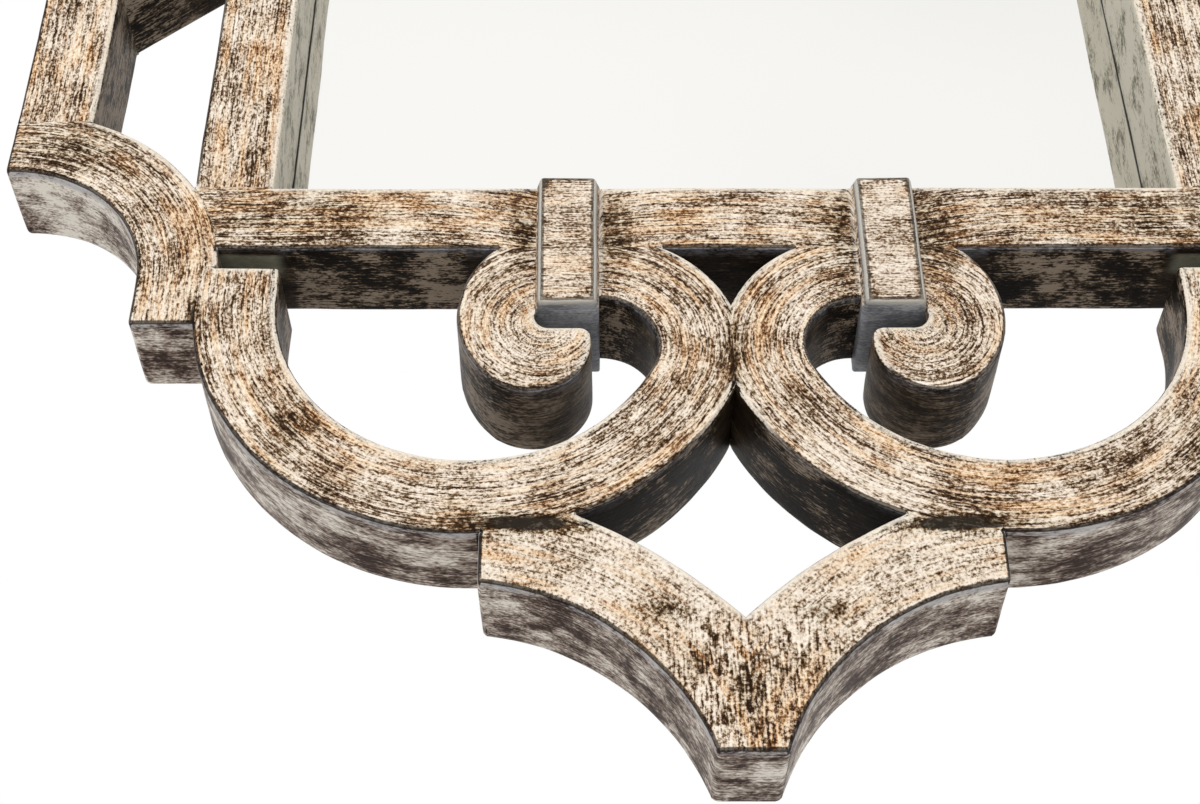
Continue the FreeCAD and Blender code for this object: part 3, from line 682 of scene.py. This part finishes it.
class Wire:
    """A value in a finish. Sums are written with operators, and other nodes are added with node()."""

    def __init__(self, tree, socket=None):
        self.tree = tree
        self.socket = socket

    def node(self, kind, settings=None, sockets=None, out=0):
        made = self.tree.nodes.new(kind)
        for name, setting in (settings or {}).items():
            if name == "stops":
                ramp = made.color_ramp.elements
                while len(ramp) < len(setting):
                    ramp.new(1.0)
                for stop, (place, colour) in zip(ramp, setting):
                    stop.position, stop.color = place, (*colour, 1.0)
            else:
                setattr(made, name, setting)
        for name, value in (sockets or {}).items():
            put(made.inputs[name], value)
        return Wire(self.tree, made.outputs[out])

    def sum(self, operation, one, two):
        return self.node("ShaderNodeMath", {"operation": operation}, {0: one, 1: two})

    def __add__(self, other):
        return self.sum("ADD", self, other)

    def __radd__(self, other):
        return self.sum("ADD", other, self)

    def __sub__(self, other):
        return self.sum("SUBTRACT", self, other)

    def __rsub__(self, other):
        return self.sum("SUBTRACT", other, self)

    def __mul__(self, other):
        return self.sum("MULTIPLY", self, other)

    def __rmul__(self, other):
        return self.sum("MULTIPLY", other, self)

    def __truediv__(self, other):
        return self.sum("DIVIDE", self, other)

    def __neg__(self):
        return self.sum("MULTIPLY", self, -1.0)

    def __abs__(self):
        return self.sum("ABSOLUTE", self, 0.0)

    def least(self, other):
        return self.sum("MINIMUM", self, other)

    def most(self, other):
        return self.sum("MAXIMUM", self, other)

    def step(self, low, high):
        """0 below low and 1 above high, with a soft rise between them, or the other way round."""
        if low > high:
            return 1.0 - self.step(high, low)
        return self.node("ShaderNodeMapRange", {"interpolation_type": "SMOOTHSTEP"},
                         {"Value": self, "From Min": low, "From Max": high})

    def over(self, under, colour, blend="MIX"):
        """This value as a mask that lays a colour over another."""
        return self.node("ShaderNodeMix", {"data_type": "RGBA", "blend_type": blend},
                         {0: self, MIX_UNDER: under, MIX_OVER: colour}, MIX_RESULT)

    def toned(self, colours):
        """The colour that this value stands for, between colours given as (value, red, green, blue)."""
        return self.node("ShaderNodeValToRGB",
                         {"stops": [(place, tint(*levels)) for place, *levels in colours]}, {0: self})

    def stretched(self, along, across, deep):
        """This place, in grains of these sizes in millimetres."""
        return self.node("ShaderNodeVectorMath", {"operation": "MULTIPLY"},
                         {0: self, 1: (1 / along / MM, 1 / across / MM, 1 / deep / MM)})

    def shifted(self, *amounts):
        return self.node("ShaderNodeVectorMath", {"operation": "ADD"}, {0: self, 1: amounts})

    def grain(self, detail, roughness):
        return self.node("ShaderNodeTexNoise", {},
                         {"Vector": self, "Scale": 1.0, "Detail": detail, "Roughness": roughness})

    def split(self):
        return [self.node("ShaderNodeSeparateXYZ", {}, {0: self}, k) for k in range(3)]


def tint(*levels):
    """A colour given as it looks on the screen, 0 to 255."""
    return tuple(c / 255 / 12.92 if c / 255 <= 0.04045 else ((c / 255 + 0.055) / 1.055) ** 2.4
                 for c in levels)


def finish(name):
    """A new material with its own surface shader, as (material, first wire, surface)."""
    material = bpy.data.materials.new(name)
    material.use_nodes = True
    tree = material.node_tree
    tree.nodes.clear()
    output = tree.nodes.new("ShaderNodeOutputMaterial")
    surface = tree.nodes.new("ShaderNodeBsdfPrincipled")
    tree.links.new(surface.outputs[0], output.inputs["Surface"])
    return material, Wire(tree), surface


def bumped(start, surface, height, depth, strength):
    put(surface.inputs["Normal"],
        start.node("ShaderNodeBump", {}, {"Strength": strength, "Distance": depth, "Height": height}))


def object_place(start):
    return start.node("ShaderNodeTexCoord", out="Object")


def attribute(start, name):
    return start.node("ShaderNodeAttribute", {"attribute_name": name}, out="Vector")


def layer(spot, origin, size, detail, roughness):
    """One layer of brushwork or wear, about 0, with its sizes along, across and deep in millimetres."""
    return spot.shifted(*origin).stretched(*size).grain(detail, roughness) - 0.5


# The paint's colours from dark to pale, each with the value that it stands for
CREAM = ((0.28, 38, 26, 17), (0.37, 80, 58, 39), (0.445, 130, 103, 77), (0.51, 190, 172, 151),
         (0.58, 224, 208, 190), (0.68, 241, 228, 212), (0.82, 251, 243, 231))
RUST = ((0.28, 48, 28, 15), (0.37, 98, 61, 34), (0.45, 150, 103, 62), (0.52, 200, 157, 113),
        (0.60, 228, 195, 156), (0.72, 243, 223, 194), (0.86, 250, 239, 219))
OUTER_SIDE = ((0.26, 58, 44, 39), (0.38, 92, 76, 68), (0.48, 130, 114, 103), (0.58, 171, 157, 146),
              (0.70, 211, 199, 187), (0.82, 242, 234, 223))
# The colours of closed-in sides: dark glaze with painted shade
INNER_GLAZE_AND_SHADE = ((0.32, 18, 13, 8), (0.42, 36, 27, 19), (0.50, 56, 45, 33), (0.58, 92, 78, 63),
              (0.72, 150, 134, 117))
ROUND_GLASS = ((0.30, 76, 72, 58), (0.44, 124, 119, 102), (0.56, 166, 161, 143), (0.70, 206, 200, 184))
IN_SLOT = ((0.42, 112, 110, 94), (0.58, 142, 139, 122))
# The collar's sides: grey paint with a painted blue-grey satin sheen
COLLAR_GREY_AND_SHEEN = ((0.38, 118, 119, 124), (0.60, 184, 186, 192))
BROWN_BACK = ((0.30, 40, 31, 25), (0.50, 62, 49, 40), (0.72, 96, 79, 66))
# The colours of the pools: dark glaze at the seams and corners, with painted shade beside and under the
# collars
THIN_GLAZE_AND_SHADE, SOAKED_GLAZE_AND_SHADE = tint(232, 240, 236), tint(44, 38, 32)
# A painted highlight for the pale strip on a collar's rounded edge, and the pale rub of worn edges
COLLAR_PAINTED_HIGHLIGHT, PALE_RUB = tint(198, 193, 182), tint(243, 233, 217)
# Painted highlights on the sides: a pale line on open sides, and on closed-in sides a bright line that
# fades into a wider grey-blue painted sheen
OPEN_PAINTED_HIGHLIGHT, CLOSED_PAINTED_HIGHLIGHT, CLOSED_PAINTED_SHEEN = tint(186, 185, 187), tint(206, 204, 211), tint(108, 108, 114)
EDGE_LINE, COLLAR_LINE = tint(32, 26, 23), tint(72, 67, 60)
# How far a collar stands in front of the bars
COLLAR_PROUD = 8 * MM


def cream_front(place, grain, gap, pool_and_shade, collar, apron):
    """Cream over brown, rubbed back in fine flecks, dashes and long thin strokes along each member."""
    x, _, z = place.split()
    foot = apron * abs(x).step(62 * MM, 20 * MM) * abs(z).step(512 * MM, 545 * MM)
    fleck = layer(grain, (0.9, 1.1, 0.2), (1.75, 1.2, 1.4), 2, 0.6)
    speck = layer(place, (0.9, 1.1, 0.2), (1.45, 1.4, 1.45), 2, 0.6)
    dash = layer(grain, (2.3, 0.7, 0.2), (6, 0.9, 2), 1, 0.5)
    streak = layer(grain, (1.3, 2.1, 0.2), (48, 1.15, 5), 3, 0.6)
    drip = layer(place, (0.4, 0.3, 0.6), (1.5, 4, 9), 2, 0.55)
    band = layer(grain, (0, 0, 0), (60, 6, 12), 2, 0.5)
    patch = layer(place, (3.1, 1.7, 0.4), (24, 24, 24), 3, 0.55)
    drift = layer(place, (0.2, 0.9, 0.1), (38, 38, 38), 2, 0.5)
    blot = layer(place, (0.7, 0.2, 0.9), (4.5, 4.5, 4.5), 3, 0.6)

    # An apron is speckled more than brushed, and its foot is streaked downwards
    fine = (fleck + (speck - fleck) * apron) * 0.85 * (1.0 - collar * 0.2)
    brush = dash * 0.42 + streak * (0.78 - collar * 0.36) + band * 0.25
    brush = brush * (1.0 - apron * 0.4) * (1.0 - foot) + foot * drip * 1.05
    warmth = band * 1.6 + streak * 1.3 + drip * foot * 2.0 + drift
    warm = (warmth + fine * 0.7).step(-0.07, 0.40) * (1.0 - pool_and_shade * 0.8) * (1.0 - collar * 0.4)
    edging = gap.step(6 * MM, 1.5 * MM) * collar
    tone = fine + brush + patch * (0.40 - apron * 0.08) - warm * 0.05 + 0.522
    tone = tone + collar * 0.04 + apron * 0.06 - foot * 0.055
    # The pools darken the front: dark glaze at the seams and corners, painted shade beside and under the
    # collars
    tone = tone - pool_and_shade * 0.22 + blot * (pool_and_shade * 1.2 + edging * 0.8) - edging * 0.05
    front = (warm * 0.9).over(tone.toned(CREAM), tone.toned(RUST))
    front = pool_and_shade.over(front, THIN_GLAZE_AND_SHADE, "MULTIPLY")
    soaked_and_shaded = (pool_and_shade + blot * 0.8 + streak * 0.5 + fleck * 0.3).step(0.62, 0.76)
    return (soaked_and_shaded * 0.92).over(front, SOAKED_GLAZE_AND_SHADE), tone, fine, dash, streak, blot


def glazed_sides(place, grain, closed, lift, inwards, collar):
    """Dark glaze with dry brushed streaks, palest on the outside of the frame, darker with painted shade
    where another bar closes a side in, and brown on the back.
    """
    x, y, z = place.split()
    drag = layer(grain, (0.4, 0.3, 0.9), (15, 30, 1.2), 3, 0.6)
    cloud = layer(grain, (0.8, 0.1, 0.3), (34, 30, 20), 3, 0.6)
    blotch = layer(grain, (0.2, 0.7, 0.6), (12, 12, 7), 3, 0.65)
    grit = layer(grain, (0.6, 0.2, 0.5), (2.6, 2.6, 1.1), 2, 0.6)
    paler = lift.least(0.2)
    worn = drag * 0.75 + cloud * 1.25 + blotch * 0.9 + grit * 0.9 + 0.515 + paler

    # Closed-in sides are dark glaze with painted shade. Deep pockets are smooth and a little darker with
    # painted shade, wide openings show more of the streaks, and the walls of the diamond between the
    # scrolls and the apron are darkest, with painted shade
    enclosed, deep = closed.step(0.2, 0.6), closed.step(0.90, 0.97)
    diamond = closed.step(0.5, 0.8) * abs(z).step(400 * MM, 430 * MM)
    inner_glaze_and_shade = (drag * 1.2 + cloud * 1.3 + blotch * 0.8 + grit * 1.1) * (1.0 - deep * 0.72) + 0.515
    inner_glaze_and_shade = inner_glaze_and_shade - deep * 0.05 + paler - diamond * 0.08
    side = enclosed.over(worn.toned(OUTER_SIDE), inner_glaze_and_shade.toned(INNER_GLAZE_AND_SHADE))

    # A grey-green strip in the slot between a scroll's arm and the rail, and the walls round the glass
    behind = y - FRONT
    slot = closed.step(0.93, 0.96) * abs(x).step(240 * MM, 248 * MM)
    strip = (behind + drag * 3 * MM).step(5 * MM, 8 * MM) * behind.step(26 * MM, 18 * MM)
    side = (slot * strip).over(side, (grit * 0.25 + cloud * 0.3 + 0.5).toned(IN_SLOT))
    round_glass = lift.step(0.6, 0.9)
    side = round_glass.over(side, worn.toned(ROUND_GLASS))

    depth = behind + collar * COLLAR_PROUD
    # A collar's sides are grey paint with a painted satin sheen, and a painted highlight runs along the
    # rounding behind its front
    collar_grey_and_sheen = (grit * 0.4 + cloud * 0.6 + drag * 0.3 + 0.5).toned(COLLAR_GREY_AND_SHEEN)
    side = (collar * 0.9).over(side, collar_grey_and_sheen)
    side = (collar * depth.step(4.5 * MM, 1.5 * MM) * 0.85).over(side, COLLAR_PAINTED_HIGHLIGHT)

    # A painted highlight: a pale satin line along the rounded lower edges, wider and bluer where a side is
    # closed in
    low_edge = inwards.step(0.30, -0.10).most(collar)
    reach = (6.0 - closed * 0.5 + deep * (1.0 - slot) * 6) * MM + (drag + cloud) * 9 * MM
    painted_highlight = ((reach - depth) / ((2.5 + closed * 2 + deep * 5) * MM)).step(0.0, 1.0)
    painted_highlight = painted_highlight * (low_edge * (0.66 + cloud * 1.6 + grit * 1.3)).step(0.2, 1.0)
    painted_highlight = painted_highlight * (1.0 - round_glass) * (1.0 - collar) * (1.0 - diamond * 0.7)
    closed_painted_highlight = (depth + drag * 3 * MM).step(2.8 * MM, 1.2 * MM).over(CLOSED_PAINTED_SHEEN, CLOSED_PAINTED_HIGHLIGHT)
    side = (painted_highlight * 0.85).over(side, enclosed.over(OPEN_PAINTED_HIGHLIGHT, closed_painted_highlight))
    return side, worn.toned(BROWN_BACK), low_edge, depth, drag, grit


def distressed_paint():
    material, start, surface = finish("cream_paint_rubbed_back")
    place, grain = object_place(start), attribute(start, "grain")
    gap, own, inwards = attribute(start, "rim").split()
    collar, apron = own.most(0.0), (-own).most(0.0)
    closed, pool_and_shade, lift = attribute(start, "glaze").split()
    _, toward, _ = start.node("ShaderNodeTexCoord", out="Normal").split()
    front, tone, fine, dash, streak, blot = cream_front(place, grain, gap, pool_and_shade, collar, apron)
    side, back, low_edge, depth, drag, grit = glazed_sides(place, grain, closed, lift, inwards, collar)

    # Between front and side: a ragged dark line below and outside, a pale rub above
    ragged = (fine * 0.9 + dash * 0.6 + blot * 0.5) * MM * gap.step(0.1 * MM, 0.8 * MM)
    reached = gap + ragged - collar * 0.45 * MM
    face = reached.step(0.45 * MM, 0.75 * MM) * (-toward).step(0.05, 0.2)
    line = reached.step(0.15 * MM, 0.4 * MM) * reached.step(2.3 * MM, 1.7 * MM)
    line = line * low_edge * depth.step(6 * MM, 3.5 * MM) * (0.95 - collar * 0.2 - closed * 0.2)
    rub = gap.step(5.0 * MM, 1.5 * MM) * (1.0 - low_edge) * face * (tone + 0.16).step(0.42, 0.56)
    colour = face.over(side, front)
    colour = line.over(colour, collar.over(EDGE_LINE, COLLAR_LINE))
    colour = (rub * 0.75).over(colour, PALE_RUB)
    colour = toward.step(0.5, 0.9).over(colour, back)
    put(surface.inputs["Base Color"], colour)

    rough = face * (0.66 + fine * 0.25) + (1.0 - face) * (0.46 + grit * 0.4)
    put(surface.inputs["Roughness"], rough)
    relief = face * (tone + streak * 0.6) + (1.0 - face) * (drag * 0.5 + grit * 0.7)
    bumped(start, surface, relief, 0.45 * MM, 0.7)
    surface.inputs["Specular IOR Level"].default_value = 0.06
    return material


# Half of the opening that shows the glass, across and up
OPENING = (250 * MM, 256 * MM)


def silvered_glass():
    """Clear silvering, with a painted shadow: a dark line round the opening for the shade of the rebate
    seen through the glass's thickness.
    """
    material, start, surface = finish("silvered_glass")
    place = object_place(start)
    x, _, z = place.split()
    edge = (OPENING[0] - abs(x)).least(OPENING[1] - abs(z))
    # Painted shadow of the rebate, seen in the glass's thickness, as a dark matt line round the opening
    line = edge.step(1.5 * MM, 0.9 * MM)
    haze = place.stretched(420, 420, 420).grain(1, 0.5)
    clean = haze.step(0.3, 0.7).over(tint(239, 238, 235), tint(248, 247, 244))
    put(surface.inputs["Base Color"], line.over(clean, tint(30, 32, 31)))
    put(surface.inputs["Metallic"], 1.0 - line)
    put(surface.inputs["Roughness"], 0.012 + line * 0.3)
    return material


def hardboard():
    material, start, surface = finish("brown_hardboard")
    place = object_place(start)
    fibre = place.stretched(1.4, 3, 1.4).grain(4, 0.7)
    cloud = place.stretched(60, 60, 60).grain(3, 0.5)
    colour = (cloud * 0.6 + fibre * 0.4).step(0.36, 0.64).over(tint(112, 78, 52), tint(146, 106, 74))
    colour = (fibre.step(0.60, 0.70) * 0.5).over(colour, tint(84, 56, 36))
    put(surface.inputs["Base Color"], colour)
    put(surface.inputs["Roughness"], 0.55 + (fibre - 0.5) * 0.3)
    bumped(start, surface, fibre, 0.15 * MM, 0.5)
    return material


def beech():
    material, start, surface = finish("beech_dowel")
    place = object_place(start)
    ring = place.stretched(2.2, 14, 2.2).grain(3, 0.6)
    pore = place.stretched(0.5, 2.6, 0.5).grain(2, 0.6)
    colour = ring.step(0.35, 0.65).over(tint(206, 170, 122), tint(184, 144, 98))
    colour = (pore.step(0.60, 0.70) * 0.6).over(colour, tint(138, 100, 66))
    put(surface.inputs["Base Color"], colour)
    put(surface.inputs["Roughness"], 0.6 + (pore - 0.5) * 0.2)
    bumped(start, surface, pore, 0.1 * MM, 0.4)
    return material


def zinc_plate():
    material, start, surface = finish("yellow_zinc_plate")
    place = object_place(start)
    cloud = place.stretched(5, 5, 5).grain(3, 0.6)
    scuff = place.stretched(0.4, 0.4, 3.0).grain(3, 0.7)
    colour = cloud.step(0.35, 0.65).over(tint(206, 188, 134), tint(184, 176, 156))
    colour = (scuff.step(0.62, 0.72) * 0.5).over(colour, tint(120, 108, 84))
    put(surface.inputs["Base Color"], colour)
    put(surface.inputs["Roughness"], 0.32 + (cloud - 0.5) * 0.3 + scuff.step(0.6, 0.75) * 0.2)
    surface.inputs["Metallic"].default_value = 1.0
    bumped(start, surface, scuff, 0.03 * MM, 0.4)
    return material


def black_rubber():
    material, start, surface = finish("black_rubber")
    place = object_place(start)
    dust = place.stretched(2.2, 2.2, 2.2).grain(4, 0.7)
    colour = dust.step(0.45, 0.75).over(tint(34, 33, 33), tint(62, 60, 58))
    put(surface.inputs["Base Color"], colour)
    put(surface.inputs["Roughness"], 0.72 + (dust - 0.5) * 0.25)
    bumped(start, surface, dust, 0.06 * MM, 0.4)
    return material


def coat(piece, material):
    piece.data.materials.clear()
    piece.data.materials.append(material)


def recoat(node, material):
    """Give a node that stays its better finish."""
    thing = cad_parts[node]
    if not thing.material_slots:
        thing.data.materials.append(material)
    for place in thing.material_slots:
        place.material = material


def softened(node, name, width, segments):
    """A copy of a node with its sharp edges eased."""
    piece = free_copy(node, name)
    edit(piece)
    join_flat_faces()
    rest()
    easing = piece.modifiers.new("easing", "BEVEL")
    easing.limit_method = "ANGLE"
    easing.angle_limit = SHARP
    easing.width = width
    easing.segments = segments
    alone(piece)
    bpy.ops.object.modifier_apply(modifier="easing")
    smooth(piece)
    return piece


# The fittings on the back: node, name of the piece, how far its edges are eased, and in how many steps
PLATED = [("left_hanger_strap", "plated_left_strap", 0.25 * MM, 3),
          ("right_hanger_strap", "plated_right_strap", 0.25 * MM, 3),
          ("hanger_screws", "plated_hanger_screws", 0.35 * MM, 3),
          ("backing_screws", "plated_backing_screws", 0.35 * MM, 3)]
RUBBERS = [("wall_bumpers", "domed_wall_bumpers", 1.9 * MM, 5)]


def fit(fittings, material):
    for node, name, width, segments in fittings:
        piece = softened(node, name, width, segments)
        coat(piece, material)
        stand_for(piece, node)


# The studio

# The camera as it was worked out from the photograph, turned in degrees
CAMERA_PLACE = (-0.06991, -0.85368, -1.00974)
CAMERA_TURN = (126.229, 0.0775, 0.0208)
CAMERA_LENS = 60.17
FLOOR, FLOOR_SIZE = -1.25, 9
ROOM_LIGHT = (0.56, 0.57, 0.58, 1)
# The soft boxes: place, what each is aimed at, its width and height in metres, and its power in watts
LAMPS = {"front_soft_box": ((-1.3, -2.6, 0.9), (0, 0, -0.2), (1.8, 1.8), 38),
         "right_fill": ((2.1, -1.9, -0.1), (0, 0, -0.3), (1.2, 1.6), 12),
         "low_fill": ((-0.5, -1.7, -1.15), (0, 0, -0.35), (1.6, 0.7), 8)}


def set_camera():
    data = bpy.data.cameras.new("camera")
    data.sensor_width = 36
    data.sensor_fit = "HORIZONTAL"
    data.lens = CAMERA_LENS
    data.clip_start = 0.01
    camera = bpy.data.objects.new("camera", data)
    camera.location = CAMERA_PLACE
    camera.rotation_euler = [math.radians(turn) for turn in CAMERA_TURN]
    bpy.context.scene.collection.objects.link(camera)
    bpy.context.scene.camera = camera


def set_world():
    """A grey room that shows white to the camera, in the mirror and through gaps."""
    world = bpy.data.worlds.new("studio")
    world.use_nodes = True
    tree = world.node_tree
    tree.nodes.clear()
    start = Wire(tree)
    seen, glossy, through = (start.node("ShaderNodeLightPath", out=f"Is {ray} Ray")
                             for ray in ("Camera", "Glossy", "Transmission"))
    room = start.node("ShaderNodeBackground", {}, {"Color": ROOM_LIGHT, "Strength": 1.0})
    white = start.node("ShaderNodeBackground", {}, {"Color": (1, 1, 1, 1), "Strength": 1.0})
    shown = start.node("ShaderNodeMixShader", {}, {0: seen.most(glossy).most(through), 1: room, 2: white})
    output = tree.nodes.new("ShaderNodeOutputWorld")
    tree.links.new(shown.socket, output.inputs["Surface"])
    bpy.context.scene.world = world


def set_lamp(name, place, aim, size, power):
    data = bpy.data.lights.new(name, "AREA")
    data.shape = "RECTANGLE"
    data.size, data.size_y = size
    data.energy = power
    lamp = bpy.data.objects.new(name, data)
    lamp.location = place
    lamp.rotation_euler = (Vector(aim) - Vector(place)).to_track_quat("-Z", "Y").to_euler()
    lamp.visible_glossy = False
    lamp.visible_camera = False
    bpy.context.scene.collection.objects.link(lamp)


def set_floor():
    """A pale floor that can't be seen from below, where the photograph's camera stands."""
    bpy.ops.mesh.primitive_plane_add(size=FLOOR_SIZE, location=(0, 0, FLOOR))
    floor = bpy.context.object
    floor.name = "studio_floor"
    material, start, surface = finish("pale_floor")
    speckle = object_place(start).stretched(300, 300, 300).grain(3, 0.5)
    put(surface.inputs["Base Color"], speckle.over(tint(236, 235, 232), tint(240, 239, 237)))
    surface.inputs["Roughness"].default_value = 0.85
    below = start.node("ShaderNodeNewGeometry", out="Backfacing")
    clear = start.node("ShaderNodeBsdfTransparent")
    output = surface.outputs[0].links[0].to_node
    mixed = start.node("ShaderNodeMixShader", {},
                       {0: below, 1: Wire(start.tree, surface.outputs[0]), 2: clear})
    start.tree.links.new(mixed.socket, output.inputs["Surface"])
    floor.data.materials.append(material)


set_camera()
set_world()
set_floor()
for name, settings in LAMPS.items():
    set_lamp(name, *settings)
bpy.context.scene.view_settings.view_transform = "Standard"

paint = distressed_paint()
for piece in cut_bars():
    coat(piece, paint)
zinc = zinc_plate()
fit(PLATED, zinc)
fit(RUBBERS, black_rubber())
dowel_wood = beech()
for node in NODES:
    if node.endswith("_dowels"):
        recoat(node, dowel_wood)
recoat("mirror_glass", silvered_glass())
recoat("backing_board", hardboard())
for side in ("left", "right"):
    recoat(f"{side}_hanger_ring", zinc)
